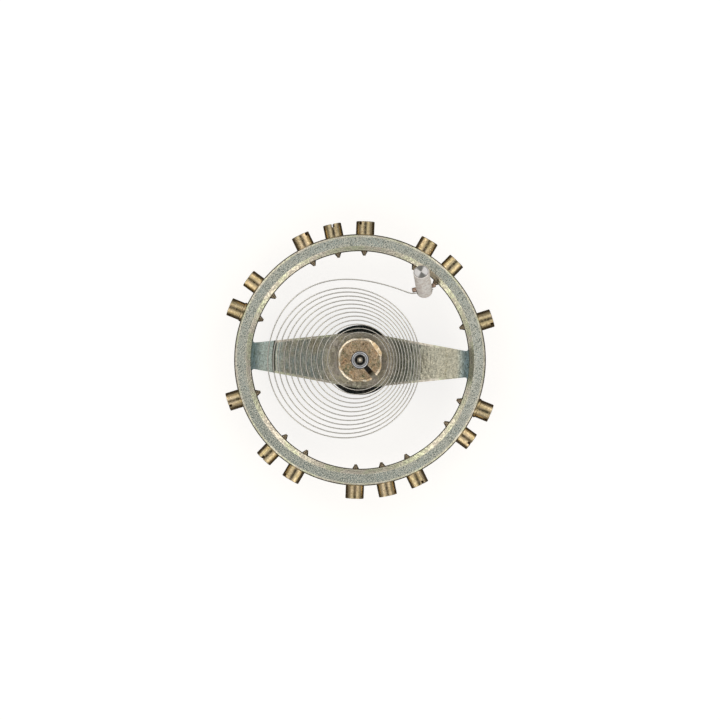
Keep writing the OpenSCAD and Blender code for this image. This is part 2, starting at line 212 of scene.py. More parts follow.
def fitted(piece, body, slot, *nodes, seed=0.0, place=None, crease=32):
    """Scales a piece to metres, puts it in place on its body and lets it stand for its nodes."""
    mesh = piece.data
    mesh.transform(Matrix.Scale(MM, 4))
    mesh.shade_smooth()
    mesh.set_sharp_from_angle(angle=math.radians(crease))
    marks = mesh.attributes.new("seed", "FLOAT", "POINT")
    marks.data.foreach_set("value", [seed] * len(mesh.vertices))
    if place is not None:
        piece.matrix_world = Matrix.Translation(place.translation * MM) @ place.to_3x3().to_4x4()
    if body:
        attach(piece, body)
    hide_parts(*nodes)
    return piece


def put(tree, kind, inputs=None, **settings):
    """Adds a shader node with its settings, and links or sets its inputs."""
    made = tree.nodes.new("ShaderNode" + kind)
    for key, value in settings.items():
        setattr(made, key, value)
    for key, value in (inputs or {}).items():
        socket = made.inputs[key]
        if isinstance(value, bpy.types.NodeSocket):
            tree.links.new(value, socket)
        else:
            socket.default_value = (*value, 1.0) if socket.type == "RGBA" else value
    return made


def sums(tree, operation, first, second=0.0, third=0.0):
    """The output of a Math node."""
    return put(tree, "Math", {0: first, 1: second, 2: third}, operation=operation).outputs[0]


def between(tree, value, low, high, to_low=0.0, to_high=1.0):
    """A value brought smoothly from one span to another."""
    return put(tree, "MapRange", {0: value, 1: low, 2: high, 3: to_low, 4: to_high},
               interpolation_type="SMOOTHSTEP").outputs[0]


def mixed(tree, mask, first, second):
    """A colour that goes from first to second as the mask goes from 0 to 1."""
    return put(tree, "Mix", {0: mask, 6: first, 7: second}, data_type="RGBA").outputs[2]


def off_axis(tree, x, y):
    """The distance from the Z axis."""
    flat = put(tree, "CombineXYZ", {0: x, 1: y})
    return put(tree, "VectorMath", {0: flat.outputs[0]}, operation="LENGTH").outputs["Value"]


def spread(tree, place, pitch):
    """A place counted in steps of the pitch along each axis."""
    return put(tree, "VectorMath", {0: place, 1: pitch}, operation="DIVIDE").outputs[0]


def noise(tree, given, place, scale, low, high, to_low=0.0, **detail):
    """A mask of noise, drawn out between two of its levels."""
    made = put(tree, "TexNoise", {"Vector": place, "W": given["Seed"], "Scale": scale, **detail},
               noise_dimensions="4D")
    return between(tree, made.outputs[0], low, high, to_low)


def effect(name, inputs, *outputs):
    """An empty shader group with a place, a seed, and these named inputs and outputs."""
    tree = bpy.data.node_groups.new(name, "ShaderNodeTree")
    for label, value in {"Place": (0, 0, 0), "Seed": 0.0, **inputs}.items():
        kind = "NodeSocketVector" if isinstance(value, tuple) else "NodeSocketFloat"
        socket = tree.interface.new_socket(label, in_out="INPUT", socket_type=kind)
        socket.default_value = value
    for label in outputs:
        tree.interface.new_socket(label, in_out="OUTPUT", socket_type="NodeSocketFloat")
    return (tree, tree.nodes.new("NodeGroupInput").outputs,
            tree.nodes.new("NodeGroupOutput").inputs)


def mottle_effect():
    """Blotches of tarnish, small specks and a fine grain, at sizes in millimetres."""
    tree, given, found = effect("mottle", {"Blotch size": 0.5, "Speck size": 0.08},
                                "Blotches", "Specks", "Grain")
    for label, size, finer, reach, detail in (
            ("Blotches", "Blotch size", 1.0, 0.1,
             {"Detail": 3.0, "Roughness": 0.55, "Distortion": 0.4}),
            ("Specks", "Speck size", 1.0, 0.1, {"Detail": 2.0, "Roughness": 0.6}),
            ("Grain", "Speck size", 2.4, 0.12, {"Detail": 1.0})):
        scale = sums(tree, "DIVIDE", finer, given[size])
        mask = noise(tree, given, given["Place"], scale, 0.5 - reach, 0.5 + reach, **detail)
        tree.links.new(mask, found[label])
    return tree


def lines_effect():
    """Fine parallel lines left by stoning or drawing, with their pitch given for each axis."""
    tree, given, found = effect("lines", {"Pitch": (0.02, 0.4, 0.4)}, "Lines")
    place = spread(tree, given["Place"], given["Pitch"])
    tree.links.new(noise(tree, given, place, 1.0, 0.38, 0.62, Detail=2.0, Roughness=0.7), found[0])
    return tree


def rings_effect():
    """The fine rings that a lathe tool leaves about the Z axis."""
    tree, given, found = effect("rings", {"Spacing": 0.02}, "Rings")
    x, y, z = put(tree, "SeparateXYZ", {0: given["Place"]}).outputs
    rings_out, rings_up = (sums(tree, "DIVIDE", length, given["Spacing"])
                           for length in (off_axis(tree, x, y), z))
    place = put(tree, "CombineXYZ", {0: rings_out, 1: rings_up}).outputs[0]
    tree.links.new(noise(tree, given, place, 1.0, 0.25, 0.75, Detail=2.0, Roughness=0.65), found[0])
    return tree


def wear_effect():
    """A broken line of wear along edges, from how far a bevelled normal leans off the true one."""
    tree, given, found = effect("edge wear", {"Reach": 0.00002, "Break": 0.05}, "Wear")
    eased = put(tree, "Bevel", {"Radius": given["Reach"]}, samples=6)
    true = put(tree, "NewGeometry")
    lean = put(tree, "VectorMath", {0: eased.outputs[0], 1: true.outputs["Normal"]},
               operation="DOT_PRODUCT")
    edge = between(tree, lean.outputs["Value"], 0.999, 0.96)
    scale = sums(tree, "DIVIDE", 1.0, given["Break"])
    patchy = noise(tree, given, given["Place"], scale, 0.3, 0.6, 0.25, Detail=2.0)
    tree.links.new(sums(tree, "MULTIPLY", edge, patchy), found[0])
    return tree


def scratches_effect():
    """Thin stray scratches in two directions."""
    tree, given, found = effect("scratches", {"Length": 0.8}, "Scratches")
    both = []
    for angle, width in ((0.5, 0.012), (2.1, 0.016)):
        place = put(tree, "VectorRotate", {"Vector": given["Place"], "Angle": angle}).outputs[0]
        pitch = put(tree, "CombineXYZ", {0: width, 1: given["Length"], 2: given["Length"]})
        both.append(noise(tree, given, spread(tree, place, pitch.outputs[0]), 1.0, 0.66, 0.74,
                          Detail=1.0, Distortion=0.2))
    tree.links.new(sums(tree, "MAXIMUM", *both), found[0])
    return tree


mottle, lines, rings = mottle_effect(), lines_effect(), rings_effect()
wear, scratches = wear_effect(), scratches_effect()


class Finish:
    """A finish under way, with its marks and its tone so far.

    Marks are sized and placed in millimetres from the piece's own origin.
    """

    def __init__(self, name, first, second, blotch, speck, metallic=1.0):
        self.material = bpy.data.materials.new(name)
        self.material.use_nodes = True
        self.tree = self.material.node_tree
        self.shader = self.tree.nodes["Principled BSDF"]
        self.shader.inputs["Metallic"].default_value = metallic
        where = put(self.tree, "TexCoord").outputs["Object"]
        self.place = put(self.tree, "VectorMath", {0: where, "Scale": 1 / MM},
                         operation="SCALE").outputs[0]
        self.seed = put(self.tree, "Attribute", attribute_name="seed").outputs["Fac"]
        self.x, self.y, self.z = put(self.tree, "SeparateXYZ", {0: self.place}).outputs
        blotches, self.specks, self.grain = self.use(mottle, Blotch_size=blotch, Speck_size=speck)
        self.tone = self.mixed(blotches, first, second)

    def use(self, group, **inputs):
        """An effect's outputs, or its only one, with values given by its inputs' names."""
        given = {key.replace("_", " "): value for key, value in inputs.items()}
        found = put(self.tree, "Group", {"Place": self.place, "Seed": self.seed, **given},
                    node_tree=group).outputs
        return found[0] if len(found) == 1 else found

    def sums(self, operation, *values):
        return sums(self.tree, operation, *values)

    def ramp(self, value, low, high):
        return between(self.tree, value, low, high)

    def band(self, value, low, high, soft):
        """A mask that is 1 from low to high and fades to 0 over the soft width beyond them."""
        return self.sums("MULTIPLY", self.ramp(value, low - soft, low),
                         self.ramp(value, high + soft, high))

    def from_axis(self):
        return off_axis(self.tree, self.x, self.y)

    def mixed(self, mask, first, second):
        return mixed(self.tree, mask, first, second)

    def over(self, mask, share, colour):
        """Lays a colour over the tone, by that share where the mask is 1."""
        self.tone = self.mixed(self.sums("MULTIPLY", mask, share), self.tone, colour)

    def done(self, smooth, rough, *heights, mask=None):
        """The material, rough in its specks or by the mask, raised by (mask, millimetres) pairs."""
        mask = self.specks if mask is None else mask
        below = {}
        for raised, height in heights:
            bump = put(self.tree, "Bump", {"Height": raised, "Distance": height * MM,
                                           "Strength": 1.0, **below})
            below = {"Normal": bump.outputs[0]}
        found = {"Base Color": self.tone,
                 "Roughness": between(self.tree, mask, 0.0, 1.0, smooth, rough), **below}
        for label, socket in found.items():
            self.tree.links.new(socket, self.shader.inputs[label])
        return self.material


def stoned_nickel_silver():
    """The rim's matt faces: grey-green with bluish blotches, brown specks, pale worn edges; painted
    shade at the lower left and painted light at the right.
    """
    finish = Finish("stoned nickel silver", (0.44, 0.50, 0.44), (0.62, 0.58, 0.45),
                    blotch=0.5, speck=0.075)
    edge = finish.use(wear, Reach=0.00003, Break=0.12)
    stray = finish.use(scratches, Length=0.5)
    middle = finish.band(finish.from_axis(), 4.2, 4.3, 0.12)
    finish.over(middle, 0.5, (0.28, 0.41, 0.42))
    # Painted shade: the faces are painted darker toward the lower left.
    down_left = finish.sums("MULTIPLY_ADD", finish.x, -0.4,
                            finish.sums("MULTIPLY", finish.y, -0.92))
    painted_shade_low_left = finish.ramp(down_left, 2.3, 3.7)
    finish.over(painted_shade_low_left, 0.55, (0.06, 0.13, 0.12))
    # Painted light: the faces are painted lighter toward the right.
    painted_light_right = finish.ramp(finish.x, 3.3, 4.2)
    finish.over(painted_light_right, 0.35, (1.0, 0.98, 0.86))
    finish.over(finish.specks, 1.0, (0.055, 0.10, 0.095))
    finish.over(finish.grain, 0.76, (1.0, 0.96, 0.82))
    finish.over(edge, 0.8, (0.92, 0.84, 0.68))
    finish.over(stray, 0.4, (0.88, 0.84, 0.72))
    return finish.done(0.34, 0.5,
                       (finish.specks, 0.005), (finish.grain, 0.002), (stray, -0.001))


def cut_nickel_silver():
    """The bevel, chamfers and walls, cut bright and still glossy, with tool rings and staining;
    painted shade darkens the outer wall and the bevel beside the arm's right end.
    """
    finish = Finish("cut nickel silver", (0.92, 0.84, 0.70), (0.78, 0.82, 0.56),
                    blotch=0.6, speck=0.08)
    tool = finish.use(rings, Spacing=0.03)
    finish.over(finish.specks, 0.5, (0.48, 0.42, 0.34))
    finish.over(tool, 0.35, (0.42, 0.42, 0.36))
    # Painted shade: the outer wall and its edges are painted darker.
    outer = finish.ramp(finish.from_axis(), 4.3, 4.36)
    finish.over(outer, 0.25, (0.42, 0.40, 0.32))
    # Painted shade on the bevel and inner wall beside the arm's right end.
    beside_arm = finish.ramp(finish.sums("ABSOLUTE", finish.y), 0.75, 0.45)
    right_inside = finish.band(finish.x, 3.85, 4.06, 0.04)
    painted_shade_by_arm_end = finish.sums("MULTIPLY", right_inside, beside_arm)
    finish.over(painted_shade_by_arm_end, 0.7, (0.16, 0.16, 0.11))
    return finish.done(0.22, 0.4, (tool, 0.002), (finish.specks, 0.003))


def brushed_arm():
    """The arm's stoned face: fine lines across its length, brown and bluish patches, and painted
    light and shade: lighter on the right, shaded by the hub, a pale band and dark blue shade toward
    the rim, a lit lip and shaded foot at the left recess, and shade under the collet.
    """
    finish = Finish("brushed arm", (0.40, 0.47, 0.45), (0.50, 0.45, 0.33), blotch=0.7, speck=0.06)
    brush = finish.use(lines, Pitch=(0.05, 0.35, 0.35))
    out = finish.from_axis()
    # Painted light: the arm's right half is painted lighter.
    painted_light = finish.ramp(finish.x, 1.5, 2.4)
    finish.over(painted_light, 0.85, (0.78, 0.74, 0.58))
    shaded = finish.sums("MULTIPLY", finish.ramp(finish.x, 0.8, 1.1),
                         finish.ramp(finish.x, 2.35, 1.9))
    finish.over(shaded, 0.7, (0.20, 0.26, 0.23))
    finish.over(brush, 0.55, (0.90, 0.85, 0.68))
    # Painted highlight: a pale bluish band toward each end of the arm, reaching further in on the
    # left.
    off_centre = finish.sums("MULTIPLY_ADD", finish.x, -0.12, out)
    finish.over(finish.ramp(off_centre, 3.02, 3.35), 0.7, (0.72, 0.87, 0.83))
    # Painted shade: dark blue where the arm runs into the rim.
    finish.over(finish.ramp(out, 3.5, 3.85), 0.8, (0.18, 0.29, 0.35))
    finish.over(finish.specks, 0.36, (0.15, 0.16, 0.11))
    # Painted highlight and painted shade at the left recess's step: a pale line on its lip and a
    # dark band at its foot.
    left = finish.ramp(finish.x, 1.0, -1.0)
    painted_highlight_at_step = finish.band(out, recess_r - 0.1, recess_r - 0.06, 0.02)
    finish.over(finish.sums("MULTIPLY", painted_highlight_at_step, left), 0.5, (1.0, 0.93, 0.76))
    painted_shade_at_step = finish.band(out, recess_r - 0.02, recess_r + 0.06, 0.04)
    finish.over(finish.sums("MULTIPLY", painted_shade_at_step, left), 0.92, (0.09, 0.08, 0.05))
    patches, pits, _ = finish.use(mottle, Blotch_size=0.45, Speck_size=0.14)
    worn = finish.mixed(patches, (1.0, 0.92, 0.66), (1.0, 0.90, 0.78))
    worn = finish.mixed(finish.sums("MULTIPLY", pits, 0.6), worn, (0.38, 0.31, 0.19))
    worn = finish.mixed(finish.sums("MULTIPLY", finish.grain, 0.5), worn, (1.0, 0.98, 0.90))
    hub = finish.band(out, 0.0, 1.1, 0.3)
    finish.over(hub, 1.0, worn)
    # Painted shade on the arm close round the staff, under the collet.
    painted_shade_under_collet_on_arm = finish.ramp(out, 0.66, 0.58)
    finish.over(painted_shade_under_collet_on_arm, 0.9, (0.05, 0.04, 0.03))
    return finish.done(0.36, 0.5, (brush, 0.007), (finish.specks, 0.004), (pits, 0.016), mask=brush)


STONED, CUT, BRUSHED = 0, 1, 2
wheel_finishes = [stoned_nickel_silver(), cut_nickel_silver(), brushed_arm()]


def rim_finish(point):
    """Stoned on both flat faces; walls, bevel and chamfers are as the tool left them."""
    return STONED if abs(point.z) > rim_half_h - play else CUT


rim_outline = [
    (bore_r, -rim_half_h + under_chamfer), (bore_r + under_chamfer, -rim_half_h),
    (rim_r - under_chamfer, -rim_half_h), (rim_r, -rim_half_h + under_chamfer),
    (rim_r, rim_half_h - outer_edge_h), (rim_r - outer_edge_w, rim_half_h - lip_h),
    (rim_r - outer_edge_w - lip_w, rim_half_h),
    (bore_r + bevel_w, rim_half_h), (bore_r, rim_half_h - bevel_h)]
wheel = blank("balance_wheel_rim_and_arm",
              turned(rim_outline, rim_steps, edge_round, rim_finish), wheel_finishes)


def arm_quarter():
    """The arm's outline from above the hub's middle to the end of one side, inside the rim."""
    slope = (arm_root_w - arm_end_w) / (2 * bore_r)
    steep = math.sqrt(1 + slope ** 2)
    half = arm_root_w / 2
    leave = math.pi / 2 + math.atan(slope) - math.acos(half / steep / hub_r)
    points = arc((0, 0), hub_r, math.pi / 2, leave, 12)
    lift = half + corner_r * steep
    reach = bore_r - corner_r
    x = (lift * slope + math.sqrt((reach * steep) ** 2 - lift ** 2)) / steep ** 2
    middle = Vector((x, lift - slope * x))
    on_arm = math.atan2(-1, -slope)
    on_bore = math.atan2(middle.y, middle.x)
    side_end = middle + corner_r * Vector((math.cos(on_arm), math.sin(on_arm)))
    points += [points[-1].lerp(side_end, k / 24) for k in range(1, 24)]
    points += arc(middle, corner_r, on_arm, on_bore, 8)
    inside_rim = (bore_r + rim_r) / 2
    return points + [Vector((math.cos(on_bore), math.sin(on_bore))) * inside_rim]


quarter = arm_quarter()
right_half = quarter + [Vector((p.x, -p.y)) for p in reversed(quarter)]
arm_outline = right_half[:0:-1] + [Vector((-p.x, p.y)) for p in right_half[:-1]]
arm = blank("arm", plate(arm_outline, arm_under, arm_top, arm_chamfer_w, arm_chamfer_h,
                         lambda point: BRUSHED if abs(point.z - arm_top) < play else CUT,
                         inside=arm_chamfer_to), wheel_finishes)
# The turned recess at both ends of the arm's face, and the hub's hole for the staff
recess_outline = [(recess_r, arm_top - recess_depth), (rim_r, arm_top - recess_depth),
                  (rim_r, arm_top + past), (recess_r, arm_top + past)]
arm = worked(arm, turned(recess_outline, rim_steps, recess_round, lambda point: BRUSHED))
arm = worked(arm, rod(staff_hole_r, arm_under - past, arm_top + past, 96, CUT))
wheel = worked(wheel, arm, "UNION")


def outwards(degrees):
    """Turns a piece made along Z to lie in the wheel's plane, along that direction."""
    return turn(degrees, "Z") @ turn(90, "Y")


# Drilled holes and sunk seats for the screws
drill_outline = [(0, bore_r - past), (thread_hole_r, bore_r - past), (thread_hole_r, seat_at),
                 (seat_sink_r, seat_at), (seat_sink_r, rim_r + past), (0, rim_r + past)]
drills = bmesh.new()
for direction in screw_dirs:
    drill = turned(drill_outline, 64, finish_of=lambda point: CUT)
    drill.transform(outwards(direction))
    drill_mesh = bpy.data.meshes.new("drill")
    drill.to_mesh(drill_mesh)
    drill.free()
    drills.from_mesh(drill_mesh)
    bpy.data.meshes.remove(drill_mesh)
fitted(worked(wheel, drills), "balance", "nickel_silver", "balance_wheel", seed=1.0)


# Timing screws. Turned from brass and gilt, sixteen in opposite pairs: a heavy plain head with
# a driver's slot, and a thread that runs through the rim and shows its cone inside. Screwed
# down hard against the rim, two of them on a washer.

head_r, head_l, head_round = 0.3275, 0.48, 0.022
thread_r, thread_pitch, thread_depth = 0.14, 0.055, 0.012
tip_at, tip_flat_r = bore_r - 0.17, 0.045
washer_t = 0.086
slot_w, slot_depth, slot_roll = 0.09, 0.12, 37
shank_steps = 30
washered = (8, 16)


def gilt_brass():
    """Old gilding: gold on the turned flanks, brown in the grain, each screw in its own tone."""
    finish = Finish("gilt brass", (0.62, 0.50, 0.26), (0.82, 0.64, 0.40), blotch=0.25, speck=0.06)
    tool = finish.use(rings, Spacing=0.03)
    drawn = finish.use(lines, Pitch=(0.06, 0.06, 0.8))
    edge = finish.use(wear, Reach=0.00002, Break=0.06)
    own = put(finish.tree, "TexWhiteNoise", {"W": finish.seed}, noise_dimensions="1D")
    finish.over(own.outputs["Value"], 0.5, (0.30, 0.27, 0.14))
    finish.over(finish.specks, 0.6, (0.38, 0.26, 0.13))
    finish.over(drawn, 0.3, (0.92, 0.78, 0.54))
    finish.over(edge, 0.5, (0.20, 0.14, 0.08))
    tip = finish.ramp(finish.z, 4.1, 3.9)
    finish.over(tip, 0.75, (0.26, 0.21, 0.16))
    return finish.done(0.18, 0.30, (tool, 0.0008), (finish.specks, 0.001))


def threaded(shape, top):
    """Presses a helical thread into the shank below the head, and leaves its tip plain."""
    neck, tip_r = 0.02, 0.05
    for vert in shape.verts:
        radius = math.hypot(vert.co.x, vert.co.y)
        if vert.co.z < top - neck and radius > tip_r:
            angle = math.atan2(vert.co.y, vert.co.x)
            turns = (vert.co.z / thread_pitch - angle / (2 * math.pi)) % 1.0
            share = 1 - thread_depth * abs(2 * turns - 1) / radius
            vert.co.x *= share
            vert.co.y *= share
    return shape


def block(place, size):
    """A cutter of that size, with flat sides."""
    shape = bmesh.new()
    bmesh.ops.create_cube(shape, size=1.0)
    shape.transform(place @ Matrix.Diagonal((*size, 1)))
    return shape


gilt = gilt_brass()
for number, direction in enumerate(screw_dirs, start=1):
    seat = seat_at + (washer_t if number in washered else 0)
    end = seat + head_l
    shank = [(tip_flat_r, tip_at), (thread_r, bore_r + 0.01), (thread_r, seat)]
    screw_outline = [(0, tip_at)]
    for (r0, z0), (r1, z1) in zip(shank, shank[1:]):
        screw_outline += [(r0 + (r1 - r0) * k / shank_steps, z0 + (z1 - z0) * k / shank_steps)
                          for k in range(shank_steps)]
    head = [(thread_r, seat), (head_r, seat), (head_r, end), (0, end)]
    screw_outline += softened(head, head_round, ring=False)
    screw = blank(f"timing_screw_{number:02d}_turned", threaded(turned(screw_outline, 72), seat),
                  [gilt])
    driver = block(turn(slot_roll * number, "Z") @ move(0, 0, end), (2, slot_w, 2 * slot_depth))
    fitted(worked(screw, driver), "balance", "screw_brass", f"timing_screw_{number:02d}",
           seed=3.7 * number, place=outwards(direction))


# Timing washers. Two thin rings punched from brass sheet, laid under the heads of one opposite
# pair of screws to add a little weight there.

washer_r, washer_round = 0.355, 0.014
washer_outline = [(thread_hole_r, seat_at), (washer_r, seat_at),
                  (washer_r, seat_at + washer_t), (thread_hole_r, seat_at + washer_t)]
for number, screw_number in enumerate(washered, start=1):
    washer = blank(f"timing_washer_{number:02d}_ring", turned(washer_outline, 96, washer_round),
                   [gilt])
    fitted(washer, "balance", "washer_brass", f"timing_washer_{number:02d}", seed=61.0 + number,
           place=outwards(screw_dirs[screw_number - 1]))


# Balance staff. Turned from one bar of steel, hardened, and polished: a pivot at each end,
# the collet's seat, the riveted seat of the wheel, a flange and the seat of the two rollers.

staff_end = (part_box("balance_staff")[1] / MM).z
pivot_r, pivot_l, pivot_chamfer = 0.055, 0.32, 0.018
cone_r, cone_h = 0.125, 0.16
flare_r, flare_at = 0.7 * pivot_r + 0.3 * cone_r, staff_end - pivot_l - 0.4 * cone_h
shoulder = staff_end - pivot_l - cone_h
upper_arbor_r, upper_arbor_chamfer = 0.21, 0.04
collet_seat_r, collet_under, collet_over = 0.303, 0.17, 0.67
seat_top, step, staff_round = collet_over + 0.06, 0.03, 0.008
flange_r, flange_under = 0.72, arm_under - 0.12
wheel_seat_r, roller_seat_r = 0.45, 0.25
rivet_r, rivet_h = 0.52, 0.05
collet_rest_r = (collet_seat_r + wheel_seat_r) / 2


def polished_steel():
    """Hardened steel, burnished in the lathe; the pivot's end is painted bright as a highlight and
    the ring over its cone painted dark as shade.
    """
    finish = Finish("polished steel", (0.72, 0.72, 0.74), (0.88, 0.86, 0.82),
                    blotch=0.3, speck=0.05)
    tool = finish.use(rings, Spacing=0.02)
    edge = finish.use(wear, Reach=0.00001, Break=0.05)
    finish.over(finish.specks, 0.25, (0.45, 0.45, 0.48))
    finish.over(edge, 0.5, (0.88, 0.87, 0.86))
    out = finish.from_axis()
    # Painted highlight: the pivot's end is painted near white.
    finish.over(finish.ramp(out, 0.1, 0.07), 1.0, (1.0, 0.93, 0.80))
    # Painted shade: a dark ring over the pivot's cone and the shoulder round it.
    painted_shade_rings = finish.band(out, 0.112, 0.178, 0.006)
    finish.over(painted_shade_rings, 0.97, (0.02, 0.02, 0.017))
    return finish.done(0.08, 0.42, (tool, 0.0003), mask=finish.ramp(out, 0.1, 0.08))


def turned_steel():
    """The seats, left from the graver: fine bright rings with a bluish cast."""
    finish = Finish("turned steel", (0.70, 0.73, 0.80), (0.70, 0.73, 0.80),
                    blotch=0.2, speck=0.05)
    tool = finish.use(rings, Spacing=0.03)
    edge = finish.use(wear, Reach=0.00001, Break=0.05)
    finish.over(tool, 1.0, (1.0, 0.99, 0.97))
    finish.over(edge, 0.5, (0.94, 0.92, 0.88))
    out = finish.from_axis()
    # Painted shade: dark rings at the steps and in the gap inside the collet.
    painted_shade_rings = finish.sums("MAXIMUM", finish.band(out, 0.238, 0.252, 0.008),
                        finish.band(out, 0.298, 0.32, 0.006))
    finish.over(painted_shade_rings, 0.92, (0.03, 0.04, 0.07))
    # Painted shade on the staff between the wheel and the collet.
    painted_shade_below_collet = finish.band(finish.z, -0.08, 0.18, 0.01)
    finish.over(painted_shade_below_collet, 0.9, (0.05, 0.045, 0.035))
    return finish.done(0.36, 0.46, (tool, 0.001))


POLISHED, TURNED = 0, 1
steel = polished_steel()
pivot_outline = [
    (0, staff_end), (pivot_r - pivot_chamfer, staff_end), (pivot_r, staff_end - pivot_chamfer),
    (pivot_r, staff_end - pivot_l), (flare_r, flare_at), (cone_r, shoulder)]
staff_outline = [(radius, -z) for radius, z in pivot_outline] + [
    (roller_seat_r - step, -shoulder), (roller_seat_r, -shoulder + step),
    (roller_seat_r, flange_under), (flange_r, flange_under), (flange_r, arm_under),
    (wheel_seat_r, arm_under), (wheel_seat_r, arm_top), (rivet_r, arm_top),
    (rivet_r - rivet_h / 2, arm_top + rivet_h), (collet_rest_r, arm_top + rivet_h),
    (collet_rest_r, collet_under), (collet_seat_r, collet_under), (collet_seat_r, seat_top - step),
    (collet_seat_r - step, seat_top), (collet_seat_r - 2 * step, seat_top),
    (collet_seat_r - 2 * step, seat_top + step), (upper_arbor_r, seat_top + step),
    (upper_arbor_r, shoulder - upper_arbor_chamfer),
    (upper_arbor_r - upper_arbor_chamfer, shoulder)] + pivot_outline[::-1]
staff = blank("balance_staff_turned", turned(
    staff_outline, 128, staff_round,
    lambda point: POLISHED if abs(point.z) > seat_top + 2 * step else TURNED),
    [steel, turned_steel()])
fitted(staff, "balance", "polished_steel", "balance_staff", seed=5.0)


# Roller table, safety roller and impulse jewel. The table is a flat steel disc pressed on the
# staff, with a hole for the ruby pin; the small roller below it has a hollow cut in its edge
# and a sleeve that keeps the two apart. The ruby is held in the table by shellac.

roller_bore_r, roller_r, roller_t = roller_seat_r + play, 1.26, 0.16
roller_under = flange_under - roller_t
safety_r, safety_t = 0.62, 0.15
sleeve_r, sleeve_l = 0.38, 0.26
safety_under = roller_under - sleeve_l - safety_t
safety_over = safety_under + safety_t
hollow_r = 0.2
jewel_at = Vector((0, -0.9))
jewel_r, jewel_l, jewel_kept = 0.13, 0.4, 0.67


def dark_steel():
    """Steel polished flat, its colour painted near black as a painted dark reflection, with fine
    rings.
    """
    finish = Finish("dark steel", (0.055, 0.080, 0.080), (0.15, 0.15, 0.13), blotch=0.5, speck=0.06)
    tool = finish.use(rings, Spacing=0.025)
    edge = finish.use(wear, Reach=0.000015, Break=0.08)
    finish.over(tool, 0.3, (0.12, 0.13, 0.12))
    finish.over(edge, 0.5, (0.35, 0.36, 0.36))
    return finish.done(0.2, 0.3, (tool, 0.0008))


def ruby():
    """Synthetic ruby, polished, clear red with a slight depth of tone."""
    finish = Finish("ruby", (0.62, 0.02, 0.07), (0.46, 0.01, 0.04),
                    blotch=0.2, speck=0.05, metallic=0.0)
    finish.shader.inputs["Transmission Weight"].default_value = 0.45
    finish.shader.inputs["IOR"].default_value = 1.76
    return finish.done(0.03, 0.08, (finish.grain, 0.0004))


def jewel_outline(clear_by):
    """Outline of the ruby pin, a round with a flat on its outer side, anticlockwise."""
    radius = jewel_r + clear_by
    flat = 2 * jewel_r * jewel_kept - jewel_r + clear_by
    half = math.acos(flat / radius)
    return arc(jewel_at, radius, -math.pi / 2 + half, 1.5 * math.pi - half, 40)


# The roller table's steel, painted near black as a dark reflection.
steel_painted_dark = dark_steel()
table_outline = [(roller_bore_r, roller_under), (roller_r, roller_under),
                 (roller_r, flange_under), (roller_bore_r, flange_under)]
table = blank("roller_table_disc", turned(table_outline, 192, ease=0.022), [steel_painted_dark])
jewel_hole = plate(jewel_outline(play), roller_under - past, flange_under + past, 0.01, 0.01)
fitted(worked(table, jewel_hole), "balance", "dark_steel", "roller_table", seed=7.0)

safety_outline = [(roller_bore_r, safety_under), (safety_r, safety_under),
                  (safety_r, safety_over), (sleeve_r, safety_over),
                  (sleeve_r, roller_under), (roller_bore_r, roller_under)]
safety = blank("safety_roller_turned", turned(safety_outline, 160, ease=0.012), [steel])
hollow = rod(hollow_r, safety_under - past, safety_over + play / 2, 64)
hollow.transform(move(0, -safety_r, 0))
fitted(worked(safety, hollow), "balance", "polished_steel", "safety_roller", seed=8.0)

jewel = blank("impulse_jewel_pin", plate(
    jewel_outline(0.0), flange_under - jewel_l, flange_under, 0.02, 0.02), [ruby()])
fitted(jewel, "balance", "ruby", "impulse_jewel", seed=9.0)


# Collet. A thick brass ring with four small flats, slit on one side so that it grips the
# staff, and drilled across for the spring's inner end. Its edges are chamfered bright.

collet_r, collet_flat, flat_dir = 0.81, 0.77, 2.3
collet_chamfer, collet_chamfer_h, flat_chamfer_share = 0.07, 0.032, 0.85
way_chamfer = 0.02
slit_dir, slit_w, slit_l, slit_mid = -47.7, 0.18, 1.0, 0.6
spring_z = 0.42
cross_hole_dir, cross_hole_r, cross_hole_at, cross_half_l = 250, 0.1, 0.58, 1.2
facet_dir, facet_tilt, facet_in = 37, 31, 0.038


def old_brass():
    """Brass gone bronze, green and pink in patches, pale where rubbing has worn the chamfers."""
    finish = Finish("old brass", (0.80, 0.50, 0.27), (0.36, 0.32, 0.16), blotch=0.4, speck=0.09)
    stains, spots, _ = finish.use(mottle, Blotch_size=0.4, Speck_size=0.26)
    edge = finish.use(wear, Reach=0.00003, Break=0.2)
    stray = finish.use(scratches, Length=0.4)
    finish.over(spots, 0.9, (0.13, 0.19, 0.09))
    finish.over(stains, 0.55, (0.96, 0.60, 0.38))
    finish.over(finish.specks, 0.65, (0.12, 0.09, 0.05))
    finish.over(finish.grain, 0.36, (1.0, 0.82, 0.60))
    finish.over(edge, 0.8, (1.0, 0.90, 0.72))
    finish.over(stray, 0.45, (0.16, 0.12, 0.07))
    return finish.done(0.26, 0.44,
                       (spots, 0.012), (finish.specks, 0.005), (stray, -0.003))


def cut_brass():
    """The collet's chamfers and filed facet, worn by rubbing to a pale polish."""
    finish = Finish("cut brass", (1.0, 0.90, 0.72), (0.58, 0.44, 0.27), blotch=0.25, speck=0.06)
    finish.over(finish.specks, 0.5, (0.36, 0.27, 0.17))
    return finish.done(0.16, 0.3, (finish.grain, 0.001))


def collet_outline(inset):
    """A circle cut by four flats, drawn in by the inset."""
    points = []
    for k in range(240):
        a = 2 * math.pi * k / 240
        lean = (a - math.radians(flat_dir) + math.pi / 4) % (math.pi / 2) - math.pi / 4
        flat = (collet_flat - flat_chamfer_share * inset) / math.cos(lean)
        radius = min(collet_r - inset, flat)
        points.append(Vector((radius * math.cos(a), radius * math.sin(a))))
    return points


OLD, RUBBED = 0, 1


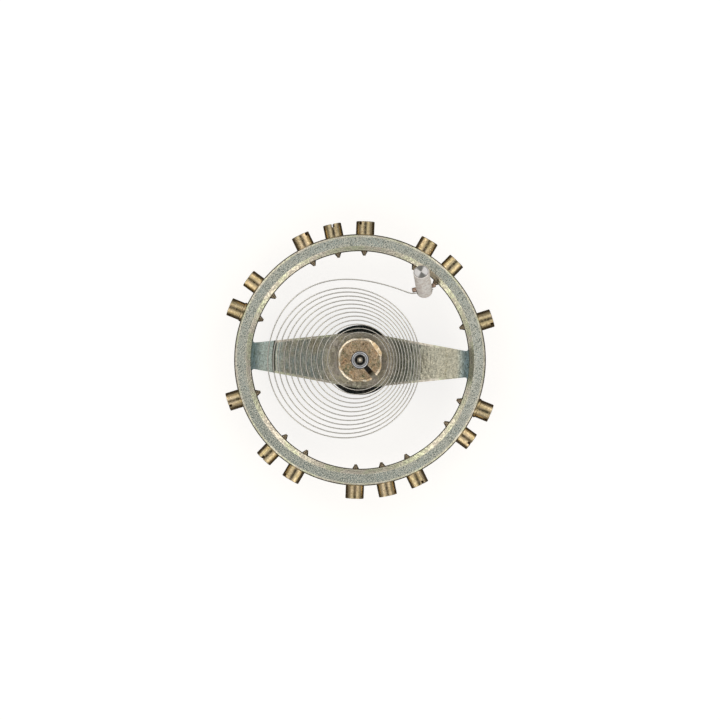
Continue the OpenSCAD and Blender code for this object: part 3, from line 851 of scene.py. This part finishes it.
def collet_finish(point):
    """Rubbed bright on the upper chamfer alone."""
    on_chamfer = point.z > collet_over - collet_chamfer_h
    outer = math.hypot(point.x, point.y) > collet_flat - collet_chamfer
    return RUBBED if on_chamfer and outer else OLD


ease_in, ease_up = 0.006, 0.004
collet_levels = [(collet_chamfer + 0.02, 0), (collet_chamfer + ease_in, 0),
                 (collet_chamfer - ease_in, ease_up), (ease_in, collet_chamfer_h - ease_up),
                 (0, collet_chamfer_h + ease_in)]
collet_rows = [(inset, collet_under + z) for inset, z in collet_levels]
collet_rows += [(inset, collet_over - z) for inset, z in reversed(collet_levels)]
collet = blank("collet_ring", skin([[(p.x, p.y, z) for p in collet_outline(inset)]
                                    for inset, z in collet_rows], finish_of=collet_finish),
               [old_brass(), cut_brass()])
way_r = collet_seat_r + play
staff_way = [(0, collet_under - past), (way_r, collet_under - past),
             (way_r, collet_over - way_chamfer), (way_r + way_chamfer, collet_over + play / 2),
             (way_r + way_chamfer, collet_over + past), (0, collet_over + past)]
collet = worked(collet, turned(staff_way, 128))
slit = block(turn(slit_dir, "Z") @ move(slit_mid, 0, spring_z), (slit_l, slit_w, 1.0))
collet = worked(collet, slit)
cross = rod(cross_hole_r, -cross_half_l, cross_half_l, 48)
cross.transform(move(0, 0, spring_z) @ turn(cross_hole_dir, "Z")
                @ move(cross_hole_at, 0, 0) @ turn(90, "X"))
collet = worked(collet, cross)
# A facet filed across its upper edge, toward the stud
corner = polar(collet_r - collet_chamfer, facet_dir)
facet = block(move(corner.x, corner.y, collet_over) @ turn(facet_dir, "Z")
              @ turn(facet_tilt, "Y") @ move(0, 0, 1 - facet_in), (2, 2, 2))
for face in facet.faces:
    face.material_index = RUBBED
fitted(worked(collet, facet), "balance", "aged_brass", "collet", seed=11.0, crease=20)


# Collet pin. Brass wire filed to a slight taper and pushed in beside the strip, then cut off
# near the collet's side, so that both its ends are a little rough.

collet_pin_r, collet_pin_l = 0.056, 2 * math.sqrt(collet_r ** 2 - cross_hole_at ** 2) - 0.06
pin_taper = 0.86
strip_t, strip_h = 0.035, 0.14
strip_off_collet_hole, strip_off_stud_hole = 0.04, 0.09


def pin_outline(radius, length):
    """A tapered pin about Z, with filed round ends."""
    thin, end = pin_taper * radius, length / 2
    ends = [(0, -end), (0.8 * radius, -end), (radius, -end + 0.3 * radius),
            (thin, end - 0.3 * radius), (0.75 * thin, end), (0, end)]
    return softened(ends, 0.012, ring=False)


def pin_off(hole_r, strip_off):
    """Distance of a pin from its hole's middle, midway between the hole's wall and the strip."""
    return (hole_r - strip_off + strip_t / 2) / 2


def filed_brass():
    """Brown brass wire with file lines along it."""
    finish = Finish("filed brass", (0.14, 0.10, 0.07), (0.50, 0.34, 0.26), blotch=0.12, speck=0.04)
    file = finish.use(lines, Pitch=(0.02, 0.02, 0.3))
    finish.over(file, 0.35, (0.74, 0.58, 0.48))
    return finish.done(0.25, 0.45, (file, 0.003), (finish.grain, 0.001))


pin_brass = filed_brass()
collet_pin = blank("collet_pin_filed", turned(pin_outline(collet_pin_r, collet_pin_l), 48),
                   [pin_brass])
fitted(collet_pin, "balance", "pin_brass", "collet_pin", seed=13.0,
       place=move(0, 0, spring_z) @ turn(cross_hole_dir, "Z")
       @ move(cross_hole_at - pin_off(cross_hole_r, strip_off_collet_hole), 0, 0) @ turn(90, "X"))


# Hairspring. One flat steel strip wound on edge in about twelve turns, pinned in the collet at
# its inner end. Its outer end leaves the coil in one long curve, takes a small elbow and goes
# straight through the stud. It is tempered grey, with rounded edges.

spring_turns = 12.05
coil_in_r, coil_out_r = 0.95, 2.75
coil_shift_r, coil_shift_dir = 0.55, 189.7
coil_end_dir = 173.7
elbow_l, elbow_bend, elbow_dir = 0.34, 19.5, -18.6
hole_arm, join_arm, leave_arm, sweep_arm, elbow_arm = 0.1, 0.3, 1.22, 4.0, 0.13
stud_at_r, stud_dir = 3.42, 50.36
stud_lean, stud_lean_dir = 31.3, -74.9
stud_r = 0.285
clear = 0.03
half_t, half_h = strip_t / 2, strip_h / 2
ease_w, ease_h, crown_h = 0.0095, 0.012, 0.0028
corner_z = half_h - crown_h
stud_down = polar(1, stud_lean_dir)
stud_along = polar(1, stud_lean_dir + 90)
stud_hole = polar(stud_at_r, stud_dir)


def tempered_strip():
    """Spring steel, drawn and tempered grey, with rounded edges a little worn bright; its crowned
    faces are painted near white as a painted highlight.
    """
    finish = Finish("tempered strip", (0.20, 0.185, 0.165), (0.30, 0.28, 0.25),
                    blotch=0.6, speck=0.08)
    drawn = finish.use(lines, Pitch=(0.25, 0.25, 0.012))
    edge = finish.use(wear, Reach=0.000008, Break=0.2)
    finish.over(drawn, 0.3, (0.12, 0.11, 0.10))
    finish.over(edge, 0.15, (0.6, 0.56, 0.50))
    # Painted highlight: the strip's crowned top and bottom faces are painted near white.
    off_middle = finish.sums("ABSOLUTE", finish.sums("SUBTRACT", finish.z, spring_z))
    painted_light = finish.ramp(off_middle, corner_z - 0.002, corner_z)
    finish.over(painted_light, 1.0, (1.0, 0.96, 0.86))
    return finish.done(0.28, 0.4, (drawn, 0.0003))


def coil_point(turns):
    """The coil's radius grows and its centre drifts evenly from turn to turn."""
    share = turns / spring_turns
    radius = coil_in_r + (coil_out_r - coil_in_r) * share
    return (polar(radius, coil_end_dir + 360 * (spring_turns - turns))
            + polar(coil_shift_r * share, coil_shift_dir))


def curve(start, start_arm, end_arm, end, steps):
    """Points of a curve that leaves one end and meets the other along the given arms."""
    points = []
    for k in range(steps + 1):
        t = k / steps
        points.append((1 - t) ** 3 * start + 3 * t * (1 - t) ** 2 * (start + start_arm)
                      + 3 * t * t * (1 - t) * (end - end_arm) + t ** 3 * end)
    return points


def strip_route():
    """The middle line of the strip from the collet to the far side of the stud."""
    along = polar(1, cross_hole_dir - 90)
    in_hole_r = cross_hole_at + strip_off_collet_hole
    inner_end = polar(in_hole_r, cross_hole_dir)
    hole_exit = inner_end + (math.sqrt(collet_r ** 2 - in_hole_r ** 2) + clear) * along
    join, bit, per_turn = 0.2, 0.01, 120
    way_in = (coil_point(join + bit) - coil_point(join)).normalized()
    way_out = (coil_point(spring_turns) - coil_point(spring_turns - bit)).normalized()
    in_stud = stud_hole + strip_off_stud_hole * stud_down
    stud_entry = in_stud - (stud_r + clear) * stud_along
    elbow = stud_entry + polar(elbow_l, stud_lean_dir - 90 - elbow_bend)
    elbow_way = polar(1, elbow_dir)
    points = curve(inner_end, hole_arm * along, hole_arm * along, hole_exit, 8)
    points += curve(hole_exit, join_arm * along, join_arm * way_in, coil_point(join), 30)[1:]
    points += [coil_point(join + k / per_turn)
               for k in range(1, int((spring_turns - join) * per_turn))]
    points += curve(coil_point(spring_turns), leave_arm * way_out, sweep_arm * elbow_way, elbow, 90)
    points += curve(elbow, elbow_arm * elbow_way, elbow_arm * stud_along, stud_entry, 20)[1:]
    return points + [in_stud, in_stud + (stud_r + clear) * stud_along]


def strip_along(line):
    """The strip on edge along a line of points."""
    rows = []
    for i, p in enumerate(line):
        heading = (line[min(i + 1, len(line) - 1)] - line[max(i - 1, 0)]).normalized()
        side = Vector((-heading.y, heading.x))
        rows.append([(p.x + s * side.x, p.y + s * side.y, spring_z + z) for s, z in section])
    return skin(rows)


def travel_along(line):
    """The length of the line up to each of its points."""
    lengths = [0.0]
    for p, q in zip(line, line[1:]):
        lengths.append(lengths[-1] + (q - p).length)
    return lengths


strip_finish = tempered_strip()
section = softened(
    [(-half_t, -corner_z + ease_h), (-half_t + ease_w, -corner_z), (0, -half_h),
     (half_t - ease_w, -corner_z), (half_t, -corner_z + ease_h), (half_t, corner_z - ease_h),
     (half_t - ease_w, corner_z), (0, half_h), (-half_t + ease_w, corner_z),
     (-half_t, corner_z - ease_h)], 0.002, steps=1)

# The coil, up to its outer end
route = strip_route()
travel = travel_along(route)
twisted_l = 0.8
outer_l = twisted_l + 2 * (stud_r + clear)
split = next(i for i, length in enumerate(travel) if length > travel[-1] - outer_l)
hairspring = blank("hairspring_strip", strip_along(route[:split + 1]), [strip_finish])
fitted(hairspring, None, "spring_steel", "hairspring", seed=17.0, crease=50)
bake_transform(hairspring)

# The outer end: it is gripped in the stud
seam, grip_l = 0.001, 0.14
outer_line = route[split:]
outer_line[0] = outer_line[0] + seam * (outer_line[1] - outer_line[0]).normalized()
outer_end = blank("hairspring_outer_end", strip_along(outer_line), [strip_finish])
fitted(outer_end, None, "spring_steel", seed=17.0, crease=50)
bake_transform(outer_end)
twists = [min(length / (twisted_l - grip_l), 1.0) for length in travel_along(outer_line)]


# Stud. A short steel peg with a cross hole near its lower end, frosted on its body and
# polished on top. Off the watch it hangs on the spring's end and leans over the rim.

stud_l, hole_up, stud_hole_r, stud_hole_half_l = 1.36, 0.235, 0.14, 0.5
stud_low, stud_top = -hole_up, stud_l - hole_up
foot_chamfer, top_chamfer, stud_round = 0.06, 0.03, 0.016


def frosted_steel():
    """The stud's matt body, greyish white with rosy stains."""
    finish = Finish("frosted steel", (0.95, 0.90, 0.84), (1.0, 0.97, 0.93),
                    blotch=0.3, speck=0.09, metallic=0.05)
    edge = finish.use(wear, Reach=0.00002, Break=0.1)
    finish.over(finish.specks, 0.45, (0.52, 0.42, 0.36))
    finish.over(edge, 0.5, (0.95, 0.90, 0.84))
    return finish.done(0.36, 0.5, (finish.specks, 0.004), (finish.grain, 0.002))


def faced_steel():
    """The stud's top, faced in the lathe to fine rings; its near-white tone stands for two bright
    fans of reflection, with two dark fans and a dark outline at its edge painted as reflection and
    shade.
    """
    finish = Finish("faced steel", (0.96, 0.92, 0.90), (1.0, 0.99, 0.98),
                    blotch=0.3, speck=0.08, metallic=0.4)
    tool = finish.use(rings, Spacing=0.016)
    finish.over(tool, 0.25, (0.6, 0.56, 0.54))
    out = finish.from_axis()
    # Painted reflection: two dark fans across x on the near-white top, which stands for the two
    # bright fans.
    fan = finish.sums("DIVIDE", finish.sums("ABSOLUTE", finish.x), out)
    finish.over(finish.ramp(fan, 0.66, 0.96), 0.92, (0.16, 0.16, 0.145))
    # Painted shade: a dark outline round the edge of the top.
    painted_dark_outline = finish.ramp(out, 0.225, 0.245)
    finish.over(painted_dark_outline, 0.7, (0.12, 0.11, 0.10))
    return finish.done(0.42, 0.5, (tool, 0.0005))


def on_stud(*moves):
    """Places a piece on the leaning stud: its origin is the cross hole and +Z runs up the stud."""
    place = move(stud_hole.x, stud_hole.y, spring_z) @ turn(stud_lean_dir + 180, "Z")
    for next_move in moves:
        place = place @ next_move
    return place


FROSTED, FACED = 0, 1
stud_outline = [
    (0, stud_low), (stud_r - foot_chamfer, stud_low), (stud_r, stud_low + foot_chamfer),
    (stud_r, stud_top - top_chamfer), (stud_r - top_chamfer, stud_top), (0, stud_top)]
stud = blank("hairspring_stud_peg", turned(
    stud_outline, 128, stud_round,
    lambda point: FACED if point.z > stud_top - 2 * play else FROSTED),
    [frosted_steel(), faced_steel()])
cross = rod(stud_hole_r, -stud_hole_half_l, stud_hole_half_l, 64)
cross.transform(turn(90, "X"))
fitted(worked(stud, cross), "stud", "stud_steel", "hairspring_stud", seed=19.0,
       place=on_stud(turn(stud_lean, "Y")))


# Stud pin. A second tapered brass pin, pressed in beside the strip from one side and left to
# stand out at both ends of the hole.

stud_pin_r, stud_pin_l = 0.085, 0.86
stud_pin = blank("stud_pin_filed", turned(pin_outline(stud_pin_r, stud_pin_l), 64), [pin_brass])
fitted(stud_pin, "stud", "pin_brass", "stud_pin", seed=23.0,
       place=on_stud(move(pin_off(stud_hole_r, strip_off_stud_hole), 0, 0), turn(90, "X")))


# Table, light and camera. A plain white table just under the lower pivot, a soft sky with the
# camera's dark shape overhead, four soft panels at the corners, and a camera straight above.

floor_half, floor_z = 0.6, -(staff_end + 0.02) * MM
panel_size, panel_energy, panel_far, panel_down = 0.12, 0.05, 0.2, 62
sky_strength = 1.15
view_w, view_turn = 0.0258, 2.3


def table_white():
    """White paper that is bright for the eye, takes the soft shadow, and is dim in mirrors."""
    material = bpy.data.materials.new("white paper")
    material.use_nodes = True
    tree = material.node_tree
    tree.nodes.clear()
    seen = put(tree, "LightPath").outputs
    tone = mixed(tree, seen["Is Glossy Ray"], (0.42, 0.39, 0.35), (0.09, 0.08, 0.07))
    tone = mixed(tree, seen["Is Diffuse Ray"], tone, (0.85, 0.84, 0.82))
    paper = put(tree, "BsdfDiffuse", {"Color": tone})
    white = put(tree, "Emission", {"Color": (0.75, 0.75, 0.75), "Strength": seen["Is Camera Ray"]})
    both = put(tree, "AddShader", {0: paper.outputs[0], 1: white.outputs[0]})
    put(tree, "OutputMaterial", {"Surface": both.outputs[0]})
    return material


floor_mesh = bpy.data.meshes.new("table")
floor_mesh.from_pydata([(x * floor_half, y * floor_half, floor_z)
                        for x, y in ((-1, -1), (1, -1), (1, 1), (-1, 1))], [], [(0, 1, 2, 3)])
floor_mesh.materials.append(table_white())
floor = shown("table", floor_mesh)

world = bpy.data.worlds.new("studio")
bpy.context.scene.world = world
world.use_nodes = True
sky = world.node_tree
sky.nodes.clear()
way = put(sky, "SeparateXYZ", {0: put(sky, "TexCoord").outputs["Generated"]})
from_top = put(sky, "Math", {0: sums(sky, "ARCCOSINE", way.outputs[2])},
               operation="DEGREES").outputs[0]
around = between(sky, from_top, 10, 28, 0.05, 1.0)  # dark where the camera stands
low = between(sky, from_top, 44, 62, 1.0, 0.34)  # dimmer toward the horizon
straight = put(sky, "LightPath").outputs["Is Camera Ray"]
glow = sums(sky, "MULTIPLY", sums(sky, "MULTIPLY", around, low), sky_strength)
light = sums(sky, "MAXIMUM", glow, straight)
put(sky, "OutputWorld", {"Surface": put(sky, "Background", {"Strength": light}).outputs[0]})

for number in range(4):
    panel = bpy.data.lights.new(f"panel_{number + 1}", "AREA")
    panel.size, panel.energy, panel.color = panel_size, panel_energy, (1.0, 0.95, 0.86)
    shown(panel.name, panel).matrix_world = (
        turn(45 + view_turn + 90 * number, "Z") @ turn(panel_down, "Y") @ move(0, 0, panel_far))

camera = bpy.data.cameras.new("camera")
camera.lens, camera.sensor_width = 120, 36
camera.clip_start, camera.clip_end = 0.001, 10
camera_holder = shown("camera", camera)
camera_holder.location = (0, 0, view_w * camera.lens / camera.sensor_width)
camera_holder.rotation_euler = (0, 0, math.radians(view_turn))
bpy.context.scene.camera = camera_holder
bpy.context.scene.view_settings.view_transform = "Standard"
